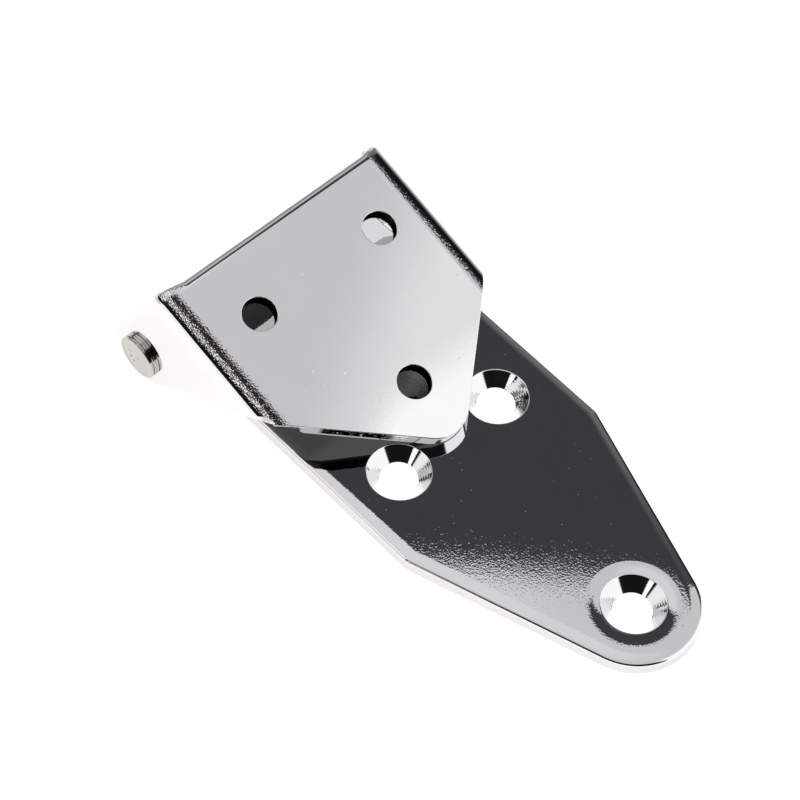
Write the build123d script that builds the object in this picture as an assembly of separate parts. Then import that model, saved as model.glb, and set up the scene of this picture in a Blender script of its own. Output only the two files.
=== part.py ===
from build123d import *
from build123d.topology import SkipClean
import os
from math import acos, asin, atan2, cos, degrees, hypot, radians, sin, tan

# Hatch hinge: a long strap leaf with a rolled eye, a short bracket leaf folded
# into a channel whose side ears reach down to the pin, and the riveted pin.
# Millimetres. X runs from the pin to the strap's tip, Y along the pin, Z up.
# The origin is midway between the strap's pair of screw holes, on its mounting face.

# Sheet
strap_thickness = 2.5
bracket_thickness = 2.5
strap_edge_round = 0.6
hinge_edge_round = 1.5
taper_edge_round = 0.4

# Strap leaf, lengths measured from the line of its hole pair
strap_width = 40.0
pin_to_strap_pair = 45.0
strap_pair_spacing = 20.5
pair_to_tip_hole = 39.5
pair_to_taper = 12.0
strap_tip_radius = 10.25
strap_corner_radius = 3.0
screw_hole_diameter = 6.0
countersink_diameter = 10.0
countersink_angle = 90.0
eye_end_angle = 22.0
panel_seat_clearance = 0.3

# Bracket leaf, lengths measured from the pin axis
web_height = 21.3
web_back = 1.2
web_taper_start = 23.69
web_taper_angle = 48.5
web_tip_radius = 5.8
bend_inner_radius = 2.4
ear_end_radius = 6.0
ear_front_drop = 3.4
ear_side_clearance = 0.65
pin_to_bracket_pair = 9.9
bracket_pair_spacing = 24.6
bracket_pair_to_tip_hole = 22.4
bracket_hole_diameter = 5.5
tip_rest_gap = 0.1

# Pin
pin_diameter = 6.0
pin_head_diameter = 7.6
pin_head_height = 0.5
pin_head_bevel = 0.2
pin_collar_height = 0.4
pin_groove_width = 0.2
pin_groove_depth = 0.35
pin_running_clearance = 0.05
pin_ear_clearance = 0.02

# Points nearer than this are in the same place
same_place = 0.01

# Worked out from the sizes above
bore_radius = pin_diameter / 2 + pin_running_clearance
eye_radius = bore_radius + strap_thickness
pin_axis = (-pin_to_strap_pair, 0, -bore_radius)
ear_inside = strap_width / 2 + ear_side_clearance
ear_outside = ear_inside + bracket_thickness
bend_outer_radius = bend_inner_radius + bracket_thickness
web_underside = web_height - bracket_thickness
web_apex = web_taper_start + ear_outside / tan(radians(web_taper_angle))
web_tip = web_apex - web_tip_radius * (1 / sin(radians(web_taper_angle)) - 1)

# The closed bracket leans until the lower edge of its tip is just clear of the strap
closed_tilt = degrees(
    atan2(web_underside, web_tip)
    - asin((eye_radius + tip_rest_gap) / hypot(web_tip, web_underside))
)


def on_circle(radius, angle):
    """Point on a circle about the sketch's origin, angle in degrees."""
    return (radius * cos(radians(angle)), radius * sin(radians(angle)))


def tangent_angle(point, radius, side):
    """Angle at which a line from an outside point touches a circle about the origin."""
    reach = hypot(*point)
    return degrees(atan2(point[1], point[0]) + side * acos(radius / reach))


def arc_about_origin(radius, start, end):
    """Arc from one angle to another, in degrees, turning the way that the numbers run."""
    middle = (start + end) / 2
    return ThreePointArc(on_circle(radius, start), on_circle(radius, middle), on_circle(radius, end))


def strap_side_profile(length):
    """The strap's sheet from the side: a flat run, then rolled down and round into the eye.

    The underside is divided where the panel's seat starts, just in front of the eye.
    """
    roll_end = 360 + eye_end_angle
    seat_start = eye_radius + panel_seat_clearance
    return make_face([
        Line((length, eye_radius), (0, eye_radius)),
        arc_about_origin(eye_radius, 90, roll_end),
        Line(on_circle(eye_radius, roll_end), on_circle(bore_radius, roll_end)),
        arc_about_origin(bore_radius, roll_end, 90),
        Line((0, bore_radius), (seat_start, bore_radius)),
        Line((seat_start, bore_radius), (length, bore_radius)),
        Line((length, bore_radius), (length, eye_radius)),
    ])


def strap_plan(back):
    """The strap from above: parallel sides, then tapers that run into the round tip."""
    half = strap_width / 2
    corner = (pair_to_taper, half)
    from_tip_hole = (corner[0] - pair_to_tip_hole, half)
    touch = on_circle(strap_tip_radius, tangent_angle(from_tip_hole, strap_tip_radius, -1))
    tip_start = (pair_to_tip_hole + touch[0], touch[1])
    tip_end = (tip_start[0], -tip_start[1])
    plan = make_face([
        Line((back, -half), (back, half)),
        Line((back, half), corner),
        Line(corner, tip_start),
        ThreePointArc(tip_start, (pair_to_tip_hole + strap_tip_radius, 0), tip_end),
        Line(tip_end, (corner[0], -half)),
        Line((corner[0], -half), (back, -half)),
    ])
    corners = plan.vertices().filter_by(lambda vertex: abs(vertex.X - pair_to_taper) < same_place)
    return fillet(corners, strap_corner_radius)


def screw_hole_cutter():
    """Clearance hole with a conical seat that opens at the strap's top face."""
    rim = countersink_diameter / 2
    hole = screw_hole_diameter / 2
    seat_depth = (rim - hole) / tan(radians(countersink_angle / 2))
    seat = Cone(hole, rim, seat_depth, align=(Align.CENTER, Align.CENTER, Align.MAX))
    return Cylinder(hole, 4 * strap_thickness) + Pos(Z=strap_thickness) * seat


def make_strap():
    """Strap leaf: the rolled sheet trimmed to its plan, with countersunk screw holes."""
    reach = pin_to_strap_pair + pair_to_tip_hole + 2 * strap_tip_radius
    side = Pos(Y=strap_width) * (Rot(X=90) * strap_side_profile(reach))
    sheet = extrude(Location(pin_axis) * side, 2 * strap_width, clean=False)
    back = -pin_to_strap_pair - 2 * eye_radius
    trim = extrude(strap_plan(back), 4 * eye_radius, both=True)
    hole = screw_hole_cutter()
    pair = strap_pair_spacing / 2
    with SkipClean():
        strap = sheet & trim
        strap = fillet(strap.edges().filter_by(on_show_side_of_strap), strap_edge_round)
        for x, y in ((0, -pair), (0, pair), (pair_to_tip_hole, 0)):
            strap -= Pos(x, y) * hole
    return strap


def on_show_side_of_strap(edge):
    """True for the strap's outline along its top face and round the outside of its eye."""
    middle = edge @ 0.5
    if middle.X > pin_axis[0]:
        return abs(middle.Z - strap_thickness) < same_place and edge.length > same_place
    across = hypot(middle.X - pin_axis[0], middle.Z - pin_axis[2])
    at_side = abs(abs(middle.Y) - strap_width / 2) < same_place
    return at_side and abs(across - eye_radius) < same_place


def bracket_section():
    """The folded channel seen along X: a web with a leg at each side, rounded at the bends."""
    depth = web_height + 2 * ear_end_radius
    top = Pos(Y=web_height)
    under = Pos(Y=web_underside)
    hang = (Align.CENTER, Align.MAX)
    outer = top * Rectangle(2 * ear_outside, depth, align=hang)
    outer = fillet(outer.vertices().group_by(Axis.Y)[-1], bend_outer_radius)
    inner = under * Rectangle(2 * ear_inside, depth, align=hang)
    inner = fillet(inner.vertices().group_by(Axis.Y)[-1], bend_inner_radius)
    return outer - inner


def bracket_plan():
    """The web from above: parallel sides, then tapers that run into the round tip."""
    half = ear_outside
    tip_centre = web_tip - web_tip_radius
    normal = 90 - web_taper_angle
    touch = on_circle(web_tip_radius, normal)
    tip_start = (tip_centre + touch[0], touch[1])
    tip_end = (tip_start[0], -tip_start[1])
    return make_face([
        Line((-2 * ear_end_radius, -half), (-2 * ear_end_radius, half)),
        Line((-2 * ear_end_radius, half), (web_taper_start, half)),
        Line((web_taper_start, half), tip_start),
        ThreePointArc(tip_start, (web_tip, 0), tip_end),
        Line(tip_end, (web_taper_start, -half)),
        Line((web_taper_start, -half), (-2 * ear_end_radius, -half)),
    ])


def bracket_back_touch():
    """Angle about the pin at which the bracket's back edge runs into an ear's round end."""
    return tangent_angle((-web_back, web_height), ear_end_radius, 1)


def bracket_back():
    """The bracket from the side, cut off along its back edge, with legs of full depth."""
    back = Vector(-web_back, web_height)
    touch = Vector(*on_circle(ear_end_radius, bracket_back_touch()))
    below = back + (touch - back) * 2
    return make_face(Polyline(back, (web_apex, web_height), (web_apex, below.Y), below, close=True))


def ear_outline():
    """All that stays of the legs, from the side: an ear tapering to a round end at the pin."""
    back_touch = bracket_back_touch()
    front = (web_taper_start, web_height - ear_front_drop)
    front_touch = tangent_angle(front, ear_end_radius, -1)
    foot = on_circle(ear_end_radius, front_touch)
    rise = (front[1] - foot[1]) / (front[0] - foot[0])
    under_web = (front[0] + (web_underside - front[1]) / rise, web_underside)
    behind = on_circle(3 * ear_end_radius, back_touch)
    top = 2 * web_height
    return make_face([
        Line(on_circle(ear_end_radius, back_touch), behind),
        Polyline(
            behind, (behind[0], top), (2 * web_apex, top), (2 * web_apex, web_underside), under_web, foot,
        ),
        arc_about_origin(ear_end_radius, front_touch, back_touch - 360),
    ])


def make_bracket():
    """Bracket leaf, modelled about the pin axis and then leaned over to its closed place."""
    channel = extrude(Plane.YZ * bracket_section(), 2 * web_apex, both=True)
    plan = extrude(bracket_plan(), 2 * web_height, both=True)
    back = extrude(Rot(X=90) * bracket_back(), 2 * ear_outside, both=True)
    ears = extrude(Rot(X=90) * ear_outline(), 2 * ear_outside, both=True)
    bracket = channel & plan & back
    bracket = fillet(bracket.edges().filter_by(on_hinge_outline), hinge_edge_round)
    bracket = fillet(bracket.edges().filter_by(on_taper_outline), taper_edge_round)
    bracket &= ears
    pair = bracket_pair_spacing / 2
    tip_hole = pin_to_bracket_pair + bracket_pair_to_tip_hole
    drill = Pos(Z=web_height) * Cylinder(bracket_hole_diameter / 2, 4 * bracket_thickness)
    for x, y in ((pin_to_bracket_pair, -pair), (pin_to_bracket_pair, pair), (tip_hole, 0)):
        bracket -= Pos(x, y) * drill
    bracket -= Rot(X=90) * Cylinder(pin_diameter / 2 + pin_ear_clearance, 4 * ear_outside)
    return Location(pin_axis) * (Rot(Y=closed_tilt) * bracket)


def on_hinge_outline(edge):
    """True for the cut edge over the pin: along the web's back, round the bends and down the legs."""
    return on_show_side_of_bracket(edge) and not in_front_of_taper_start(edge)


def on_taper_outline(edge):
    """True for the cut edge of the tapers and the tip, round the bends and down the legs."""
    return on_show_side_of_bracket(edge) and in_front_of_taper_start(edge)


def in_front_of_taper_start(edge):
    """True for an edge that lies wholly where the web narrows."""
    return all((edge @ share).X > web_taper_start - same_place for share in (0, 0.5, 1))


def on_show_side_of_bracket(edge):
    """True for the cut outline on the web's top, the outside of the bends and the ears' outer faces."""
    outside = all(outside_of_channel(edge @ share) for share in (0, 0.5, 1))
    return outside and not edge_runs_along_bend(edge)


def outside_of_channel(point):
    """True for a point on the channel's outer skin."""
    y = abs(point.Y)
    if y > ear_outside - bend_outer_radius and point.Z > web_height - bend_outer_radius:
        from_bend = hypot(y - ear_outside + bend_outer_radius, point.Z - web_height + bend_outer_radius)
        return abs(from_bend - bend_outer_radius) < same_place
    return abs(point.Z - web_height) < same_place or abs(y - ear_outside) < same_place


def edge_runs_along_bend(edge):
    """True for the lines where a bend meets the web or an ear, which stay as they are."""
    along = (edge @ 1) - (edge @ 0)
    return abs(along.Y) < same_place and abs(along.Z) < same_place


def make_pin():
    """Riveted pin: shank, and at each end a collar, a narrow groove and a flat head."""
    shank = pin_diameter / 2
    head = pin_head_diameter / 2
    neck = head - pin_groove_depth
    collar_top = ear_outside + pin_collar_height
    head_foot = collar_top + pin_groove_width
    end = head_foot + pin_head_height
    half = make_face(Polyline(
        (0, 0), (shank, 0), (shank, ear_outside), (head, ear_outside), (head, collar_top),
        (neck, collar_top), (neck, head_foot), (head, head_foot), (head, end), (0, end), close=True,
    ))
    half = chamfer(half.vertices().group_by(Axis.Y)[-1].sort_by(Axis.X)[-1:], pin_head_bevel)
    half_pin = revolve(half, Axis.Y)
    pin = half_pin + mirror(half_pin, Plane.XZ)
    return Location(pin_axis) * pin


pieces = {
    "strap_leaf": make_strap(),
    "bracket_leaf": make_bracket(),
    "hinge_pin": make_pin(),
}

os.makedirs("parts", exist_ok=True)
for name, piece in pieces.items():
    piece.label = name
    export_step(piece, f"parts/{name}.step")
    print(name, "volume", round(piece.volume, 1), "size", piece.bounding_box().size)
print("closed tilt", round(closed_tilt, 3), "web tip", round(web_tip, 3), "eye radius", eye_radius)
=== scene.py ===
# %% [markdown]
# # A plated hatch hinge
# The real hinge has three pieces. A long strap is cut from sheet steel, its end is rolled into an eye and
# its screw holes are countersunk. A short bracket is cut from the same sheet and folded into a channel,
# whose two ears reach down to the eye. A riveted pin goes through both. All three are plated bright.
#
# The measured model gives the sizes and the places. This lesson models each piece again the way its metal
# is worked, because the marks of that work, such as edges that the shears rolled over, grain on a bend
# and dents on a rivet, are what the eye reads in a mirror finish. Then it adds the plate and the light.

# %% Load the measured model
from math import acos, atan2, cos, degrees, pi, radians, sin, sqrt, tan

import bpy
from mathutils import Matrix, Vector


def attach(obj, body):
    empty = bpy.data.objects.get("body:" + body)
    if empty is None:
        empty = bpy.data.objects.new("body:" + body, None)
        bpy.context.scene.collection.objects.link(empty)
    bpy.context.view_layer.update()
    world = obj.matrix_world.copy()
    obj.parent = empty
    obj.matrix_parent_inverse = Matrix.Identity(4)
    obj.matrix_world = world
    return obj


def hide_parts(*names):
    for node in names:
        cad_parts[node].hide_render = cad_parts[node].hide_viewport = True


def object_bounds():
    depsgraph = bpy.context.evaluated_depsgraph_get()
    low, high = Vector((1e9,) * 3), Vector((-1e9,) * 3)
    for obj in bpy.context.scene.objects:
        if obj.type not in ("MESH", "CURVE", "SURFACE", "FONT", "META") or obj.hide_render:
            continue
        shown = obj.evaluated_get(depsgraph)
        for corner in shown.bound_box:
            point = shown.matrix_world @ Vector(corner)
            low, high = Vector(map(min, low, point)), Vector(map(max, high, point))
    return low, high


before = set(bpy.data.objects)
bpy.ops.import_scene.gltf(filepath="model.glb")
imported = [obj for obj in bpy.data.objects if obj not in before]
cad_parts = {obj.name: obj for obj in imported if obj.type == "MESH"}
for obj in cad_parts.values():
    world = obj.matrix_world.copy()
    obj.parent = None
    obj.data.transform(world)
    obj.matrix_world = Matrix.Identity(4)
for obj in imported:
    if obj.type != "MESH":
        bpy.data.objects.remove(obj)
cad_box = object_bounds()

mm = 0.001
same_place = 1e-4
tolerance = 0.01
print("measured box in mm", [tuple(round(v / mm, 2) for v in corner) for corner in cad_box])

# %% [markdown]
# ## Drawing with one vertex
# A sheet-metal worker starts from an outline, and so do the three pieces here. A plane is shrunk to one
# vertex, and that vertex is walked round the outline: Extrude draws a straight run and Spin draws an arc.
# Drawing this way keeps the few points that the outline really has, and an arc stays a true arc. The pieces
# are drawn in millimetres and made metres at the end, so that numbers read as they would on a drawing.

# %% Walk a vertex


def walk(name, start, moves, axis=(0, 0, 1)):
    """Starts an object as one vertex and walks it: a point is a straight run, (centre, degrees) an arc."""
    bpy.ops.object.select_all(action="DESELECT")
    bpy.ops.mesh.primitive_plane_add(size=1)
    piece = bpy.context.object
    piece.name = name
    bpy.ops.object.mode_set(mode="EDIT")
    bpy.ops.mesh.select_mode(type="VERT")
    bpy.ops.mesh.merge(type="CENTER")
    here = Vector(start)
    bpy.ops.transform.translate(value=here)
    for move in moves:
        if isinstance(move[0], (int, float)):
            bpy.ops.mesh.extrude_vertices_move(TRANSFORM_OT_translate={"value": Vector(move) - here})
            here = Vector(move)
        else:
            centre, turn_by = move
            here = spin_selected(centre, axis, turn_by, here)
    return piece


def spin_selected(centre, axis, turn_by, here=None, step=3.0):
    """Spins what is selected about an axis in small steps; returns where a point of it comes to lie."""
    steps = max(2, round(abs(turn_by) / step))
    bpy.ops.mesh.spin(steps=steps, angle=-radians(turn_by), center=centre, axis=axis)
    if here is None:
        return None
    return Vector(centre) + Matrix.Rotation(radians(turn_by), 3, Vector(axis)) @ (here - Vector(centre))


print("outlines are walked with Extrude and Spin")

# %% [markdown]
# ## Finishing a piece
# Each mesh ends the same way: doubles are merged, faces are turned outwards, and it becomes metres. Shading
# by angle keeps cut edges crisp, and a Weighted Normal modifier lets the large flat faces rule the shading
# next to small rounded ones, which keeps reflections straight right up to an edge.

# %% Finish a piece


def select_where(piece, kind, test):
    """In edit mode, selects only the vertices, edges or faces whose middle passes the test."""
    bpy.ops.mesh.select_mode(type=kind)
    bpy.ops.mesh.select_all(action="DESELECT")
    bpy.ops.object.mode_set(mode="OBJECT")
    mesh = piece.data
    for item in {"VERT": mesh.vertices, "EDGE": mesh.edges, "FACE": mesh.polygons}[kind]:
        corners = [item.index] if kind == "VERT" else item.vertices
        middle = sum((mesh.vertices[i].co for i in corners), Vector()) / len(corners)
        item.select = test(middle)
    bpy.ops.object.mode_set(mode="EDIT")


def cut_with(piece, cutter):
    """Takes one closed mesh out of another with a Boolean modifier and removes the cutter."""
    bpy.context.view_layer.objects.active = piece
    boolean = piece.modifiers.new("cut", "BOOLEAN")
    boolean.operation = "DIFFERENCE"
    boolean.solver = "EXACT"
    boolean.object = cutter
    bpy.ops.object.modifier_apply(modifier=boolean.name)
    bpy.data.objects.remove(cutter)


def close_up(piece):
    """Merges doubles, turns the faces outwards and leaves edit mode."""
    bpy.ops.mesh.select_all(action="SELECT")
    bpy.ops.mesh.remove_doubles(threshold=same_place)
    bpy.ops.mesh.normals_make_consistent(inside=False)
    bpy.ops.object.mode_set(mode="OBJECT")
    return piece


def finish_piece(piece, node, body, smooth_below=32):
    """Millimetres to metres, smooth shading, and the piece takes the place of its measured node."""
    bpy.ops.object.select_all(action="DESELECT")
    piece.select_set(True)
    bpy.context.view_layer.objects.active = piece
    bpy.ops.transform.resize(value=(mm, mm, mm), center_override=(0, 0, 0))
    bpy.ops.object.transform_apply(location=True, rotation=True, scale=True)
    bpy.ops.object.shade_smooth_by_angle(angle=radians(smooth_below))
    weighted = piece.modifiers.new("flats", "WEIGHTED_NORMAL")
    weighted.keep_sharp = True
    weighted.weight = 100
    bpy.ops.object.modifier_apply(modifier=weighted.name)
    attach(piece, body)
    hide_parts(node)
    size = [round(side / mm, 2) for side in piece.dimensions]
    print(piece.name, len(piece.data.polygons), "faces, size in mm", size)


print("pieces are cut with a Boolean and shaded by angle")

# %% [markdown]
# ## The strap
# The strap is a blank with parallel sides that taper to a round tip. Shears push the top of the sheet down
# a little along the cut, so the rim droops over the last two millimetres. That droop is almost nothing in
# height, but in a mirror it turns the reflection and draws a pale band along the edge. A Bevel would make
# only a round edge, so the rim is made with a run of insets instead, each one a little further in and up.

# %% Sizes of the strap
sheet = 2.5
strap_half = 20.0
pin_x = -45.0
tip_x = 39.5
tip_radius = 10.25
taper_x = 12.0
corner_radius = 3.0
strap_stub = 15.0
edge_round = 0.45
rim_width = 2.2
rim_drop = 0.14

to_tip = Vector((tip_x - taper_x, strap_half))
taper_turn = degrees(atan2(to_tip.y, to_tip.x)) - degrees(pi / 2 - acos(tip_radius / to_tip.length))
print("the strap tapers at", round(taper_turn, 2), "degrees")

# %% Outline of the strap
corner_run = corner_radius * tan(radians(taper_turn / 2))
corner_centre = (taper_x - corner_run, strap_half - corner_radius)
lean = radians(taper_turn)
tip_touch = (tip_x + tip_radius * sin(lean), tip_radius * cos(lean))
corner_end = (corner_centre[0] + corner_radius * sin(lean), corner_centre[1] + corner_radius * cos(lean))
strap = walk("strap", (pin_x - strap_stub, -strap_half, 0), [
    (corner_centre[0], -strap_half, 0),
    ((corner_centre[0], -corner_centre[1], 0), taper_turn),
    (tip_touch[0], -tip_touch[1], 0),
    ((tip_x, 0, 0), 180 - 2 * taper_turn),
    (corner_end[0], corner_end[1], 0),
    ((corner_centre[0], corner_centre[1], 0), taper_turn),
    (pin_x - strap_stub, strap_half, 0),
])
bpy.ops.mesh.select_all(action="SELECT")
bpy.ops.mesh.remove_doubles(threshold=same_place)
bpy.ops.mesh.edge_face_add()
print("outline closed with one face, from the eye to the tip", tip_x + tip_radius - pin_x, "mm")

# %% Thickness and drooping rim


def rim_depth(inward):
    """How far the sheet's top lies below its flat, at a distance in from the cut."""
    droop = rim_drop * max(0, 1 - inward / rim_width) ** 2
    if inward >= edge_round:
        return droop
    return droop + edge_round - sqrt(edge_round ** 2 - (edge_round - inward) ** 2)


rim_steps = [edge_round * (1 - cos(radians(a))) for a in (0, 22, 45, 67, 90)]
rim_steps += [edge_round + (rim_width - edge_round) * k / 9 for k in range(1, 10)]
bpy.ops.mesh.extrude_region_move(TRANSFORM_OT_translate={"value": (0, 0, sheet - rim_depth(0))})
bpy.ops.mesh.select_all(action="SELECT")
bpy.ops.mesh.normals_make_consistent(inside=False)
select_where(strap, "FACE", lambda middle: middle.z > sheet - rim_depth(0) - tolerance)
for outer, inner in zip(rim_steps, rim_steps[1:]):
    bpy.ops.mesh.inset(thickness=inner - outer, depth=rim_depth(outer) - rim_depth(inner))
print("the rim droops", rim_drop, "mm over", rim_width, "mm")

# %% [markdown]
# ## Rolling the eye
# On the real strap the end of the sheet is rolled round a mandrel. Here the sheet is cut off with Bisect
# above the pin, and Spin sweeps the open section round the pin's axis, so that thickness, droop and edges
# run on into the eye with no seam. A face closes the sheared end.

# %% Roll the eye
bore = 3.05
eye_turn = 292
bpy.ops.mesh.select_all(action="SELECT")
bpy.ops.mesh.bisect(plane_co=(pin_x, 0, 0), plane_no=(1, 0, 0), clear_inner=True, threshold=same_place)
spin_selected((pin_x, 0, -bore), (0, -1, 0), eye_turn, step=4.0)
bpy.ops.mesh.edge_face_add()
close_up(strap)
print("eye rolled through", eye_turn, "degrees")

# %% [markdown]
# ## Countersunk holes
# A countersink bit leaves a cone over a short straight land, and its rim is never quite sharp. Round the tip
# hole the bit's collar also pressed a shallow ring into the metal. Each cutter is half a profile, walked as
# a line and spun once round, which gives cone, land, rim and ring in one closed shape for the Boolean.

# %% Cut the screw holes
land_radius = 3.0
seat_radius = 5.0
rim_round = 0.25
ring_radius = 7.3
ring_depth = 0.07
pair_half = 10.25
just_above = sheet + 0.004


def spun(name, profile, centre, axis, across):
    """A closed solid: a profile of (radius, height) points, walked and spun once round an axis."""
    points = [Vector(centre) + Vector(across) * radius + Vector(axis) * height for radius, height in profile]
    solid = walk(name, points[0], points[1:])
    bpy.ops.mesh.select_all(action="SELECT")
    spin_selected(centre, axis, 360)
    return close_up(solid)


def screw_seat(with_ring):
    """Half the outline of a countersink bit, from its tip below the sheet to well above it."""
    foot = sheet - (seat_radius - land_radius)
    profile = [(0, -1), (land_radius, -1), (land_radius, foot)]
    rim_centre = seat_radius + rim_round * tan(radians(22.5))
    for angle in (0, 15, 30, 45):
        turn = radians(45 - angle)
        profile.append((rim_centre - rim_round * sin(turn), sheet - rim_round + rim_round * cos(turn)))
    if with_ring:
        start = seat_radius + 0.15
        profile = [(r, z - ring_depth) if z > foot else (r, z) for r, z in profile]
        for share in (0.12, 0.25, 0.4, 0.55, 0.7, 0.85, 0.97):
            radius = start + (ring_radius - start) * share
            profile.append((radius, sheet - ring_depth * (1 - share) ** 2))
        profile.append((ring_radius + 0.3, just_above))
    else:
        profile.append((seat_radius + 0.3, just_above))
    return profile + [(ring_radius + 0.5, 2 * sheet), (0, 2 * sheet)]


for x, y in ((0, -pair_half), (0, pair_half), (tip_x, 0)):
    cut_with(strap, spun("bit", screw_seat(x == tip_x), (x, y, 0), (0, 0, 1), (1, 0, 0)))
finish_piece(strap, "strap_leaf", "strap")

# %% [markdown]
# ## The bracket's blank
# The bracket starts as a flat blank too: a web with a pointed front, and a wing at each side that will become
# an ear. Drawing it flat and folding it later is the honest way, because the slanted front edge then wraps
# round the bend just as cut sheet does, and no box-modelled corner gets that right. Widths are measured
# along the outer skin. The blank is walked round once, one wing being the mirror image of the other.

# %% Sizes of the bracket
web_top = 21.3
web_back = -1.2
ear_outside = 23.15
bend_radius = 4.9
taper_angle = 48.5
taper_start = 23.69
web_tip_radius = 5.8
ear_radius = 6.0
wing_corner_turn = 70.0
bend_start = ear_outside - bend_radius
bend_length = bend_radius * pi / 2
wing_pin = bend_start + bend_length + web_top - bend_radius
taper_slope = tan(radians(taper_angle))
web_apex = taper_start + ear_outside / taper_slope
web_tip_x = web_apex - web_tip_radius / sin(radians(taper_angle))
print("the wings' holes lie", round(wing_pin, 2), "mm from the middle of the blank")

# %% Outline of the bracket


def touch_angle(point, centre, radius, side):
    """Angle on a circle at which a straight run from an outside point touches it."""
    away = Vector(point) - Vector(centre)
    return degrees(atan2(away.y, away.x)) + side * degrees(acos(radius / away.length))


def on_circle(centre, radius, angle):
    """A point of a circle in the flat of the sheet."""
    return (centre[0] + radius * cos(radians(angle)), centre[1] + radius * sin(radians(angle)), 0)


def on_taper(turn):
    """The point of the slanted edge that the fold will bring to an angle of the bend."""
    run = bend_radius * radians(turn)
    return Vector((taper_start + (bend_radius - run) / taper_slope, bend_start + run, 0))


wing_corner = on_taper(wing_corner_turn)
corner_turns = (44, 52)
mirrored = Vector((1, -1, 1))
ear = (0, wing_pin)
back_touch = touch_angle((web_back, bend_start), ear, ear_radius, -1)
front_touch = touch_angle(wing_corner.xy, ear, ear_radius, 1)
ear_turn = (back_touch - front_touch) % 360
tip_turn = 90 - taper_angle
back_corner = Vector((web_back, bend_start, 0))
back_end = Vector(on_circle(ear, ear_radius, back_touch))
back_stops = [back_corner.lerp(back_end, share) for share in (0.5, 0.75)]
bracket = walk("bracket", back_corner * mirrored, [
    *[stop * mirrored for stop in back_stops],
    back_end * mirrored,
    ((0, -wing_pin, 0), ear_turn),
    wing_corner * mirrored,
    *[on_taper(turn) * mirrored for turn in reversed(corner_turns)],
    on_circle((web_tip_x, 0), web_tip_radius, -tip_turn),
    ((web_tip_x, 0, 0), 2 * tip_turn),
    *[on_taper(turn) for turn in corner_turns],
    wing_corner,
    on_circle(ear, ear_radius, front_touch),
    ((0, wing_pin, 0), ear_turn),
    *reversed(back_stops),
    back_corner,
])
bpy.ops.mesh.select_all(action="SELECT")
bpy.ops.mesh.remove_doubles(threshold=same_place)
bpy.ops.mesh.edge_face_add()
bpy.ops.mesh.extrude_region_move(TRANSFORM_OT_translate={"value": (0, 0, sheet)})
close_up(bracket)
print("flat blank, size in mm", [round(d, 2) for d in bracket.dimensions])

# %% [markdown]
# ## Edges and holes of the blank
# The back edge of the web was the edge of the steel strip, and it is well rounded. The slanted edges were
# sheared, and they are almost sharp. One Bevel modifier can make both, because each edge carries its own
# bevel weight. Where the front edge will wrap round the bend, a corner was ground flat, so that short run
# gets a bevel of one segment first. The plain holes are punched with spun cutters while the blank is flat.

# %% Round the edges
back_round = 2.0
shear_round = 0.15
corner_flat = 1.25
front_from = 20


def select_top(where):
    """Selects the edges of the blank's top that lie in a place, given as distance across and along."""
    on_top = sheet - tolerance
    select_where(bracket, "EDGE", lambda middle: middle.z > on_top and where(abs(middle.y), middle.x))


def weigh(rounding, where):
    """Adds bevel weight to top edges, so that they are rounded by so much more."""
    select_top(where)
    bpy.ops.transform.edge_bevelweight(value=rounding / back_round)


bpy.ops.object.mode_set(mode="EDIT")
flat_from = on_taper(corner_turns[1])
select_top(lambda across, along: flat_from.y < across < wing_corner.y and along > front_from)
bpy.ops.mesh.bevel(offset=corner_flat, segments=1, affect="EDGES", clamp_overlap=False)
weigh(shear_round, lambda across, along: across < flat_from.y or along < front_from)
half_more = (back_round - shear_round) / 2
for stop in back_stops:
    weigh(half_more, lambda across, along: along < web_back + tolerance and across < stop.y)
bpy.ops.object.mode_set(mode="OBJECT")
bevel = bracket.modifiers.new("edges", "BEVEL")
bevel.limit_method = "WEIGHT"
bevel.width = back_round
bevel.segments = 6
bevel.use_clamp_overlap = False
bpy.ops.object.modifier_apply(modifier=bevel.name)
print("edges rounded,", len(bracket.data.polygons), "faces")

# %% Punch the holes
punch_radius = 2.75
punch_round = 0.12
ear_hole_radius = 3.02
pair_x = 9.9
pair_y = 12.3
web_hole_x = 32.3


def punch(radius):
    """Half the outline of a hole with a slightly rounded mouth."""
    mouth = [(radius + punch_round * (1 - cos(radians(a))), sheet - punch_round * (1 - sin(radians(a))))
             for a in (0, 30, 60, 85)]
    clear = [(radius + 1, sheet + 0.4), (radius + 1, 2 * sheet), (0, 2 * sheet)]
    return [(0, -1), (radius, -1)] + mouth + clear


holes = [(pair_x, -pair_y, punch_radius), (pair_x, pair_y, punch_radius), (web_hole_x, 0, punch_radius)]
holes += [(0, -wing_pin, ear_hole_radius), (0, wing_pin, ear_hole_radius)]
for x, y, radius in holes:
    cut_with(bracket, spun("punch", punch(radius), (x, y, 0), (0, 0, 1), (1, 0, 0)))
print(len(holes), "holes punched")

# %% [markdown]
# ## Folding the wings
# Bisect first cuts the blank into narrow strips where it will bend. Each vertex beyond the bend line then
# turns about the bend's axis by the angle that its distance along the skin gives, and past the bend it runs
# straight down. A Simple Deform modifier could bend too, but it would stretch the flat parts. At last the
# whole bracket leans about the pin until its tip rests just above the strap.

# %% Fold and lean
strips = 16
bpy.ops.object.mode_set(mode="EDIT")
for side in (-1, 1):
    for k in range(strips + 1):
        bpy.ops.mesh.select_all(action="SELECT")
        line = side * (bend_start + bend_length * k / strips)
        bpy.ops.mesh.bisect(plane_co=(0, line, 0), plane_no=(0, 1, 0), threshold=same_place)
close_up(bracket)

closed_angle = 16.978
closed_lean = Matrix.Rotation(radians(closed_angle), 3, "Y")
pin_axis = Vector((pin_x, 0, -bore))


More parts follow.
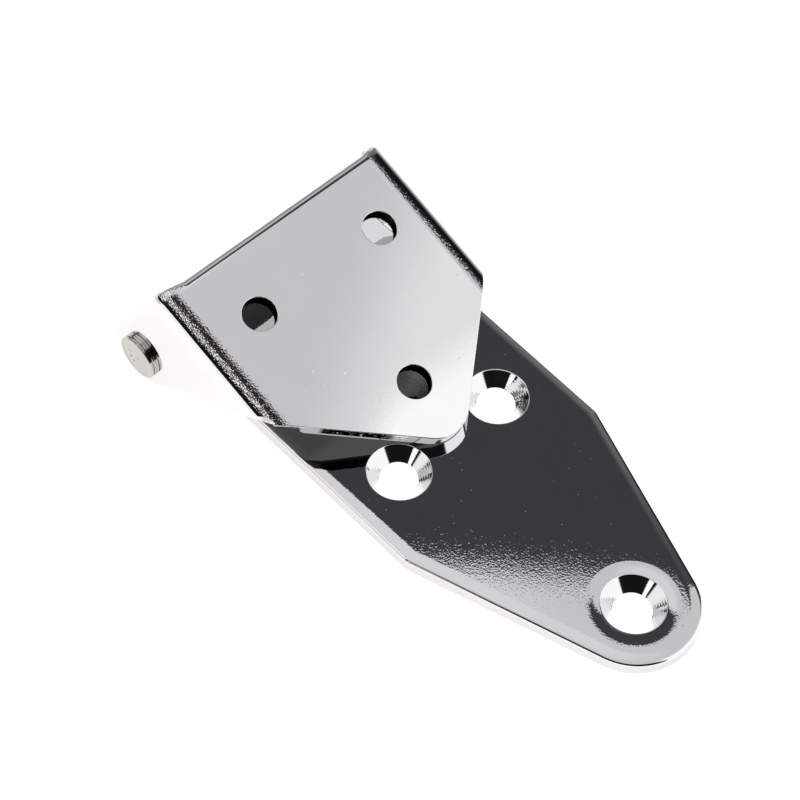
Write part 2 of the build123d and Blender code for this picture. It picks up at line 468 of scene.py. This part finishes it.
def folded(point):
    """Where a point of the flat blank comes when the wings are folded down."""
    side = -1 if point.y < 0 else 1
    past = max(0, abs(point.y) - bend_start)
    turn = min(past / bend_radius, pi / 2)
    straight = past - turn * bend_radius
    reach = bend_radius - sheet + point.z
    y = abs(point.y) if past == 0 else bend_start + reach * sin(turn)
    z = web_top - bend_radius + reach * cos(turn) - straight
    return Vector((point.x, side * y, z))


for vertex in bracket.data.vertices:
    vertex.co = pin_axis + closed_lean @ folded(vertex.co)
finish_piece(bracket, "bracket_leaf", "bracket")

# %% [markdown]
# ## The pin
# The pin is a turned rod. At each end it has a collar against the ear, a narrow groove and a flat head that
# was riveted over, so its face carries a faint step and a few dents from the hammer. A walked profile spun
# about the pin's axis makes it, and proportional editing pushes the dents in, as a thumb would into clay.

# %% Turn the pin
shank = 3.0
head = 3.8
neck = 3.45
collar_top = ear_outside + 0.4
head_foot = collar_top + 0.2
head_top = head_foot + 0.5
head_bevel = 0.16
step_radius = 3.1
step_depth = 0.05
face_rings = 12
half = [(shank, 0), (shank, ear_outside), (head - 0.06, ear_outside), (head, ear_outside + 0.06)]
half += [(head, collar_top - 0.05), (head - 0.05, collar_top), (neck, collar_top), (neck, head_foot)]
half += [(head - 0.05, head_foot), (head, head_foot + 0.05)]
half += [(head - head_bevel * (1 - cos(radians(a))), head_top - head_bevel * (1 - sin(radians(a))))
         for a in (0, 30, 60, 90)]
half += [(step_radius + 0.1, head_top), (step_radius, head_top - step_depth)]
half += [(step_radius * k / face_rings, head_top - step_depth) for k in range(face_rings - 1, -1, -1)]
profile = [(radius, -height) for radius, height in reversed(half)] + half[1:]
pin = spun("pin", profile, pin_axis, (0, 1, 0), (1, 0, 0))
print("pin of", len(pin.data.polygons), "faces")

# %% Dent the head
dents = ((-1.5, 0.5, 0.3, 0.34), (-1.2, -0.8, 0.32, 0.36), (-0.7, -1.3, 0.3, 0.34), (0.3, 0.1, 0.2, 0.3))
bpy.ops.object.mode_set(mode="EDIT")
for along, up, depth, width in dents:
    spot = pin_axis + Vector((along, -head_top + step_depth, up))
    nearest = min((vertex.co - spot).length for vertex in pin.data.vertices)
    select_where(pin, "VERT", lambda middle: (middle - spot).length < nearest + 1e-5)
    bpy.ops.transform.translate(value=(0, depth, 0), use_proportional_edit=True, proportional_size=width,
                                proportional_edit_falloff="SHARP")
bpy.ops.object.mode_set(mode="OBJECT")
finish_piece(pin, "hinge_pin", "bracket")

# %% [markdown]
# ## Helpers for finishes
# Every finish is a small tree of nodes. A few short helpers add a node, do a sum or make a soft step, so
# that each tree reads as a list of steps. All patterns hang on the object's own coordinates, which are the
# metres of the measured model, so a mark stays on its metal when the hinge moves.

# %% Node helpers


def add_node(tree, kind, **settings):
    """Adds a node; settings whose name is a socket set that socket, the others set a property."""
    node = tree.nodes.new(kind)
    for name, value in settings.items():
        label = name.replace("_", " ")
        if label in node.inputs:
            node.inputs[label].default_value = value
        else:
            setattr(node, name, value)
    return node


def calculate(tree, operation, *values):
    """A Math node on sockets or numbers."""
    node = add_node(tree, "ShaderNodeMath", operation=operation)
    for socket, value in zip(node.inputs, values):
        if isinstance(value, (int, float)):
            socket.default_value = value
        else:
            tree.links.new(value, socket)
    return node.outputs["Value"]


def mix_colours(tree, factor, first, second, blend_type="MIX"):
    """A Mix node between two colours, each a red, green and blue or a socket."""
    mix = add_node(tree, "ShaderNodeMix", data_type="RGBA", blend_type=blend_type)
    tree.links.new(factor, mix.inputs["Factor"])
    for name, colour in (("A", first), ("B", second)):
        if isinstance(colour, tuple):
            mix.inputs[name].default_value = (*colour, 1)
        else:
            tree.links.new(colour, mix.inputs[name])
    return mix.outputs["Result"]


def axes_of(tree, vector):
    """The X, Y and Z of a vector."""
    split = add_node(tree, "ShaderNodeSeparateXYZ")
    tree.links.new(vector, split.inputs["Vector"])
    return tuple(split.outputs[axis] for axis in "XYZ")


print("nodes are added and linked by short helpers")

# %% Masks, patterns and materials


def soft_step(tree, value, low, high):
    """0 at low and 1 at high, with a smooth rise between; it falls where low is the larger."""
    step = add_node(tree, "ShaderNodeMapRange", interpolation_type="SMOOTHSTEP", From_Min=low, From_Max=high)
    tree.links.new(value, step.inputs["Value"])
    return step.outputs["Result"]


def zone(tree, *edges):
    """A mask: the product of soft steps, each given as (value, where it is 0, where it is 1)."""
    mask = soft_step(tree, *edges[0])
    for edge in edges[1:]:
        mask = calculate(tree, "MULTIPLY", mask, soft_step(tree, *edge))
    return mask


def noise(tree, place, size, detail=2.0):
    """Noise whose grains are about as many metres wide as size."""
    texture = add_node(tree, "ShaderNodeTexNoise", Scale=1 / size, Detail=detail)
    tree.links.new(place, texture.inputs["Vector"])
    return texture.outputs["Fac"]


def start_material(name):
    """A new node material: its tree, its Principled shader and the object's own coordinates."""
    material = bpy.data.materials.new(name)
    material.use_nodes = True
    tree = material.node_tree
    place = add_node(tree, "ShaderNodeTexCoord").outputs["Object"]
    return material, tree, tree.nodes["Principled BSDF"], place


print("soft steps multiply into masks")

# %% [markdown]
# ## Bright plate
# Nickel and chrome plate is a mirror with almost no colour of its own. It clouds a little from place to
# place, and where it didn't take well, as on torn steel or inside a punched hole, the metal is dark and
# rough. The same darkening also paints shade inside the punched holes, under the web and on the strap's
# sides, and dark specks on the bends are a painted reflection. One recipe makes the plate of all three
# pieces. They differ in colour, gloss and relief, and in where they are darkened.

# %% Recipe for plate
# This dark tint, glint and roughness serve both thin plate and painted shade.
thin_and_shade_tint = (0.05, 0.05, 0.048)
thin_and_shade_glint = (0.1, 0.1, 0.1)
thin_roughness = 0.2
cloud_size = 9 * mm
cloud_spread = 0.03
gloss_size = 0.8 * mm
gloss_spread = 0.4


def darken_thin_and_shaded(tree, shader, thin_and_shade, skin, gloss):
    """Darkens and roughens the metal where the mask is 1; the glint keeps it dark at grazing angles too."""
    glint = mix_colours(tree, thin_and_shade, (1.0, 1.0, 1.0), thin_and_shade_glint)
    tree.links.new(glint, shader.inputs["Specular Tint"])
    skin = mix_colours(tree, thin_and_shade, skin, thin_and_shade_tint, "MULTIPLY")
    return skin, calculate(tree, "MULTIPLY_ADD", thin_and_shade, thin_roughness, gloss)


def raise_relief(tree, shader, heights):
    """Piles up bumps, each given as a height pattern and its depth in metres."""
    normal = None
    for height, depth in heights:
        bump = add_node(tree, "ShaderNodeBump", Strength=1.0, Distance=depth)
        tree.links.new(height, bump.inputs["Height"])
        if normal is not None:
            tree.links.new(normal, bump.inputs["Normal"])
        normal = bump.outputs["Normal"]
    tree.links.new(normal, shader.inputs["Normal"])


def plate(name, colour, rough, relief, darken_where=None):
    """Bright plate: metal of slightly clouded colour and gloss over a relief, darkened for thin plate and
    painted shade.
    """
    material, tree, shader, place = start_material(name)
    shader.inputs["Metallic"].default_value = 1
    dull = tuple(part * (1 - cloud_spread) for part in colour)
    clear = tuple(min(1, part * (1 + cloud_spread)) for part in colour)
    skin = mix_colours(tree, noise(tree, place, cloud_size), dull, clear)
    low, high = rough * (1 - gloss_spread), rough * (1 + gloss_spread)
    spread = add_node(tree, "ShaderNodeMapRange", To_Min=low, To_Max=high)
    tree.links.new(noise(tree, place, gloss_size), spread.inputs["Value"])
    gloss = spread.outputs["Result"]
    if darken_where is not None:
        skin, gloss = darken_thin_and_shaded(tree, shader, darken_where(tree, place), skin, gloss)
    tree.links.new(skin, shader.inputs["Base Color"])
    tree.links.new(gloss, shader.inputs["Roughness"])
    raise_relief(tree, shader, relief(tree, place))
    return material


def wear(piece, material):
    """Gives a finished piece its one material."""
    piece.data.materials.clear()
    piece.data.materials.append(material)
    print(piece.name, "wears", material.name)


print("plate clouds by", cloud_spread, "and thin plate and painted shade are darkened to", thin_and_shade_tint)

# %% [markdown]
# ## Plate on the strap
# Plate copies what lies under it. The strap keeps the fine grain of rolled sheet with a few pits, and the
# countersinks keep the rings that the bit's edge turned. The rings are a sine of the distance to the nearest
# hole, and a soft step fades them out at the rim. The grain is under two micrometres high and shows only
# where the mirrored light ends: there it breaks the edge of the light into specks. That is why the noise has
# one size of grain, wide enough to be seen, and no finer detail, which would only blur the mirror.

# %% Plate the strap
ring_pitch = 0.34 * mm
grain_size = 0.24 * mm
# How dark the strap's sides are painted: painted shade, as they mirror shaded floor next to the hinge.
strap_side_shade = 0.15


def distance_to(tree, place, x, y):
    """Distance in the sheet's plane from a point and from its mirror image across the middle line."""
    east, north, _ = axes_of(tree, place)
    along = calculate(tree, "SUBTRACT", east, x * mm)
    across = calculate(tree, "SUBTRACT", calculate(tree, "ABSOLUTE", north), y * mm)
    square = calculate(tree, "MULTIPLY", along, along)
    return calculate(tree, "SQRT", calculate(tree, "MULTIPLY_ADD", across, across, square))


def to_screw_hole(tree, place):
    """Distance in the sheet's plane to the middle of the nearest countersunk hole."""
    pair = distance_to(tree, place, 0, pair_half)
    return calculate(tree, "MINIMUM", pair, distance_to(tree, place, tip_x, 0))


def strap_relief(tree, place):
    """Fine grain and a few pits everywhere, and turned rings in the countersinks."""
    near = to_screw_hole(tree, place)
    rings = calculate(tree, "SINE", calculate(tree, "MULTIPLY", near, 2 * pi / ring_pitch))
    in_seat = soft_step(tree, near, (seat_radius + 0.1) * mm, (seat_radius - 0.2) * mm)
    yield noise(tree, place, grain_size, detail=0.0), 0.0016 * mm
    yield soft_step(tree, noise(tree, place, 0.35 * mm, detail=0.0), 0.85, 0.94), -0.0035 * mm
    yield calculate(tree, "MULTIPLY", rings, in_seat), 0.0015 * mm


def strap_painted_shade(tree, place):
    """Painted shade on the sheared sides and the underside of the strap, away from the countersinks."""
    up = axes_of(tree, place)[2]
    below_rim = soft_step(tree, up, (sheet - 0.4) * mm, (sheet - 0.6) * mm)
    low = calculate(tree, "MULTIPLY", below_rim, strap_side_shade)
    under = soft_step(tree, up, 0.02 * mm, 0.01 * mm)
    off_seats = soft_step(tree, to_screw_hole(tree, place), (seat_radius + 0.5) * mm, (seat_radius + 1) * mm)
    return calculate(tree, "MULTIPLY", low, calculate(tree, "MAXIMUM", under, off_seats))


wear(strap, plate("strap plate", (0.82, 0.82, 0.83), 0.014, strap_relief, strap_painted_shade))

# %% [markdown]
# ## Grain on the bracket's bends
# Where sheet is bent its outer skin is stretched, and the crystals of the steel rise as a pebbled grain
# known as orange peel. The plater's polish flattens it on the web but can't reach it on the bends. So a noise
# is let through only between the lines where each bend starts and ends. It rises as much as it falls, since
# otherwise the edge of its mask would show as a slope. The bracket leans, so its masks are worked out after
# turning each point back till the web is level.

# %% Relief of the bracket
web_level = web_top - bore
bend_foot = web_level - bend_radius


def laid_flat(tree, place):
    """The place of a point of the bracket after it is turned back till its web is level."""
    turn = add_node(tree, "ShaderNodeVectorRotate", rotation_type="Y_AXIS")
    turn.inputs["Center"].default_value = pin_axis * mm
    turn.inputs["Angle"].default_value = -radians(closed_angle)
    tree.links.new(place, turn.inputs["Vector"])
    return turn.outputs["Vector"]


def on_bends(tree, north, up, begin, end, far_end):
    """A mask of both bends, from soft edges in millimetres; on the far side it can end earlier."""
    across = calculate(tree, "ABSOLUTE", north)
    foot = (bend_foot - 0.3, bend_foot + 0.1)
    edges = ((up, foot), (across, begin), (across, end), (north, far_end))
    return zone(tree, *[(value, low * mm, high * mm) for value, (low, high) in edges])


def bracket_relief(tree, place):
    """Orange peel on the bends, a faint waviness and a few pits."""
    _, north, up = axes_of(tree, laid_flat(tree, place))
    bends = on_bends(tree, north, up, begin=(18.5, 19.3), end=(22.4, 21.8), far_end=(20.6, 19.6))
    peel = calculate(tree, "SUBTRACT", noise(tree, place, grain_size, detail=0.0), 0.5)
    yield calculate(tree, "MULTIPLY", peel, bends), 0.038 * mm
    yield noise(tree, place, 0.5 * mm), 0.0008 * mm
    yield soft_step(tree, noise(tree, place, 0.8 * mm, detail=0.0), 0.845, 0.90), -0.01 * mm


print("with the web level, the bends run from", round(bend_foot, 2), "to", round(web_level, 2), "mm high")

# %% [markdown]
# ## Thin plate and painted shade on the bracket
# Current reaches the walls of a hole badly, so they take little plate, and they are darkened further as
# painted shade. The underside of the web between the ears is darkened as painted shade. Shears cut only the
# skin of a sheet and tear the rest, and the torn band stays dark. On the bends, dark specks are a painted
# reflection of grains that mirror the dark room. Each of these places gets its own mask, and the strongest
# mask counts.

# %% Plate the bracket
front_edge = pin_x + web_apex
# How dark the underside of the web and the specks on the bends are painted.
under_web_shade = 0.5
painted_speck_strength = 0.75


def hole_walls(tree, laid):
    """The walls of the web's three punched holes, darkened for thin plate and as painted shade."""
    pair = distance_to(tree, laid, pin_x + pair_x, pair_y)
    near = calculate(tree, "MINIMUM", pair, distance_to(tree, laid, pin_x + web_hole_x, 0))
    return soft_step(tree, near, (punch_radius + 0.03) * mm, (punch_radius + 0.01) * mm)


def torn_edge(tree, place, forward, across, up):
    """The torn band of the slanted front edge, which ends raggedly."""
    at_edge = (forward, (front_edge - 0.05) * mm, (front_edge - 0.02) * mm)
    upper_part = (up, (web_level - 2.15) * mm, (web_level - 1.85) * mm)
    off_tip = (across, 7.5 * mm, 9 * mm)
    off_bend = (across, 17 * mm, 16 * mm)
    ragged = (noise(tree, place, 0.4 * mm), 0.70, 0.58)
    return zone(tree, at_edge, upper_part, off_tip, off_bend, ragged)


def shade_under_web(tree, across, up):
    """Painted shade on the underside of the web, between the ears."""
    wall = ear_outside - sheet
    between = (across, (wall - 0.1) * mm, (wall - 0.3) * mm)
    below = (up, (web_level - sheet + 0.06) * mm, (web_level - sheet + 0.03) * mm)
    return calculate(tree, "MULTIPLY", zone(tree, between, below), under_web_shade)


def bend_reflection_specks(tree, place, forward, north, up):
    """Dark specks on the bends, a painted reflection of grains that mirror the dark room; they stop short of
    the front edge.
    """
    specks = soft_step(tree, noise(tree, place, 0.15 * mm, detail=1.0), 0.49, 0.57)
    bends = on_bends(tree, north, up, begin=(19.8, 20.8), end=(22.3, 21.7), far_end=(20.2, 19.4))
    off_front = soft_step(tree, forward, (front_edge - 1.4) * mm, (front_edge - 1.7) * mm)
    reach = calculate(tree, "MULTIPLY", bends, calculate(tree, "MULTIPLY", off_front, painted_speck_strength))
    return calculate(tree, "MULTIPLY", specks, reach)


def bracket_thin_and_shaded(tree, place):
    """Where the bracket is darkened, for thin plate and for painted shade: the strongest of four masks."""
    laid = laid_flat(tree, place)
    east, north, up = axes_of(tree, laid)
    across = calculate(tree, "ABSOLUTE", north)
    forward = calculate(tree, "MULTIPLY_ADD", across, 1 / taper_slope, east)
    thin_and_shade = hole_walls(tree, laid)
    thin_and_shade = calculate(tree, "MAXIMUM", thin_and_shade, torn_edge(tree, place, forward, across, up))
    thin_and_shade = calculate(tree, "MAXIMUM", thin_and_shade, shade_under_web(tree, across, up))
    return calculate(tree, "MAXIMUM", thin_and_shade, bend_reflection_specks(tree, place, forward, north, up))


wear(bracket, plate("bracket plate", (0.82, 0.82, 0.83), 0.016, bracket_relief, bracket_thin_and_shaded))

# %% [markdown]
# ## Plate on the pin
# The rivet was turned before it was set, so rings run round its face under a thinner and duller plate.

# %% Plate the pin
turned_pitch = 0.4 * mm


def pin_relief(tree, place):
    """Turned rings round the pin's axis and hammered unevenness."""
    east, _, up = axes_of(tree, place)
    along = calculate(tree, "SUBTRACT", east, pin_x * mm)
    high = calculate(tree, "ADD", up, bore * mm)
    square = calculate(tree, "MULTIPLY", along, along)
    radius = calculate(tree, "SQRT", calculate(tree, "MULTIPLY_ADD", high, high, square))
    yield calculate(tree, "SINE", calculate(tree, "MULTIPLY", radius, 2 * pi / turned_pitch)), 0.004 * mm
    yield noise(tree, place, 0.6 * mm), 0.02 * mm


wear(pin, plate("pin plate", (0.53, 0.52, 0.50), 0.12, pin_relief))

# %% [markdown]
# ## The camera
# The photograph looks down on the hinge from its tip corner through a long lens. The lens length and the
# place of the camera come from the holes and edges of the measured model, fitted to the photograph.

# %% Place the camera
image_side = 800
focal_px = 2735.087
sensor = 36.0
turn = radians(43.596)
rise = radians(56.498)
roll = radians(4.102)
reach = 418.807 * mm
look_at = Vector((-9.387, -1.324, 2.5)) * mm

back = Vector((sin(turn) * cos(rise), -cos(turn) * cos(rise), sin(rise)))
right = Vector((cos(turn), sin(turn), 0))
up = back.cross(right)
rolled_right = cos(roll) * right + sin(roll) * up
rolled_up = cos(roll) * up - sin(roll) * right
eye = look_at + back * reach

camera_data = bpy.data.cameras.new("camera")
camera_data.sensor_width = sensor
camera_data.lens = focal_px * sensor / image_side
camera = bpy.data.objects.new("camera", camera_data)
camera.matrix_world = Matrix((
    (rolled_right.x, rolled_up.x, back.x, eye.x),
    (rolled_right.y, rolled_up.y, back.y, eye.y),
    (rolled_right.z, rolled_up.z, back.z, eye.z),
    (0, 0, 0, 1),
))
bpy.context.scene.collection.objects.link(camera)
bpy.context.scene.camera = camera
print("camera lens", round(camera_data.lens, 2), "mm at", [round(v / mm, 1) for v in eye])

# %% [markdown]
# ## The floor
# The hinge lies on a sheet of white paper that is lit from all round, so its shadows are washed out. A
# floor that glows a little gives that look, and it also fills the ears' reflections with white.

# %% Lay the floor
floor_side = 0.26
glow_strength = 0.80
warm_white = (1.0, 0.965, 0.935)
bpy.ops.object.select_all(action="DESELECT")
bpy.ops.mesh.primitive_plane_add(size=floor_side, location=(0, 0, cad_box[0][2]))
floor = bpy.context.object
floor.name = "floor"
material, tree, shader, place = start_material("white paper")
paper = mix_colours(tree, noise(tree, place, 4 * mm), (0.78, 0.78, 0.78), (0.82, 0.82, 0.81))
tree.links.new(paper, shader.inputs["Base Color"])
shader.inputs["Roughness"].default_value = 0.9
shader.inputs["Emission Color"].default_value = (*warm_white, 1)
shader.inputs["Emission Strength"].default_value = glow_strength
floor.data.materials.append(material)
print("floor at", round(cad_box[0][2] / mm, 2), "mm")

# %% [markdown]
# ## The studio
# A mirror shows the room, so the room is painted with care. It is a dark studio with white cards, made as a
# tree of soft steps on the direction in which light leaves the hinge: how far that points east, north and up.
# Walls and cards are laid over one another, and the camera itself sees plain white.

# %% Walls of the studio
world = bpy.data.worlds.new("studio")
bpy.context.scene.world = world
world.use_nodes = True
tree = world.node_tree
east, north, height = axes_of(tree, add_node(tree, "ShaderNodeTexCoord").outputs["Generated"])
dark_wall = (0.009, 0.009, 0.010)
upper_wall = (0.050, 0.050, 0.057)
light = mix_colours(tree, soft_step(tree, height, 0.45, 0.84), dark_wall, upper_wall)
print("walls of", dark_wall, "below and", upper_wall, "above")

# %% [markdown]
# ## Cards
# Each card is a name, a colour and its soft edges, and each edge says where the card ends and where it is
# full. The light in the ceiling has a sharp edge, which the strap's tapered end mirrors as a slanting line.
# It comes down lower at the far side, so that its edge falls on the far bend. The card over the lens lights
# the pale stripe along the near bend.

# %% Hang the cards


def grey(level):
    """A grey of some brightness."""
    return (level, level, level)


ceiling_slope = 0.06
far_side_from = 0.45
far_side_slope = 0.48
right_slant = 0.8
ceiling = calculate(tree, "MULTIPLY_ADD", calculate(tree, "ABSOLUTE", north), ceiling_slope, height)
far_side = calculate(tree, "MAXIMUM", calculate(tree, "SUBTRACT", north, far_side_from), 0)
in_ceiling = (calculate(tree, "MULTIPLY_ADD", far_side, far_side_slope, ceiling), 0.8868, 0.8892)
right_side = calculate(tree, "MULTIPLY_ADD", north, right_slant, east)
over_lens = ((north, -0.6, -0.75), (height, 0.34, 0.38), (height, 0.58, 0.56))
cards = (
    ("glow behind", (0.80, 0.80, 0.78), (height, 0.66, -0.02), (east, -0.30, -0.48)),
    ("dark corner", (0.02, 0.02, 0.021), (east, -0.37, -0.44), (height, 0.6, 0.7)),
    ("grey band behind", grey(0.5), (east, -0.42, -0.54), (height, 0.86, 0.74), (height, 0.48, 0.58)),
    ("far grey card", grey(0.17), (east, -0.2, -0.3), (east, -0.6, -0.5), (north, 0.48, 0.58)),
    ("bright skirting", (1.1, 1.09, 1.07), (height, 0.06, 0.0), (east, -0.5, -0.35), (north, 0.6, 0.4)),
    ("bright far floor", (1.1, 1.09, 1.07), (height, 0.2, -0.35), (north, 0.4, 0.6), (east, -0.5, -0.35)),
    ("dark beside the lens", grey(0.008), (north, -0.05, -0.2), (height, -0.01, 0.02)),
    ("card over the lens", (1.3, 1.27, 1.27), *over_lens, (east, 0.12, 0.06), (east, -0.16, -0.11)),
    ("brown curtain", (0.045, 0.025, 0.027), (north, -0.35, -0.5), (height, 0.56, 0.66)),
    ("left card", grey(1.0), (east, -0.22, -0.32), (north, -0.1, -0.25), (height, 0.15, 0.3)),
    ("ceiling light", (0.66, 0.66, 0.675), in_ceiling),
    ("its near half", (0.77, 0.77, 0.785), in_ceiling, (east, -0.1, -0.25), (north, 0.405, 0.375)),
    ("right glow", grey(0.89), (right_side, 0.425, 0.475), in_ceiling, (north, 0.52, 0.47)),
    ("right card", grey(1.15), (right_side, 0.455, 0.475), (east, 0.138, 0.158), (north, 0.0, 0.1)),
)
for name, colour, *edges in cards:
    light = mix_colours(tree, zone(tree, *edges), light, colour)
print("studio with", ", ".join(name for name, *rest in cards))

# %% Light the studio
seen = add_node(tree, "ShaderNodeLightPath").outputs["Is Camera Ray"]
light = mix_colours(tree, seen, light, grey(1.0))
tree.links.new(light, tree.nodes["Background"].inputs["Color"])
bpy.context.scene.view_settings.view_transform = "Standard"
print("colours are shown by", bpy.context.scene.view_settings.view_transform)
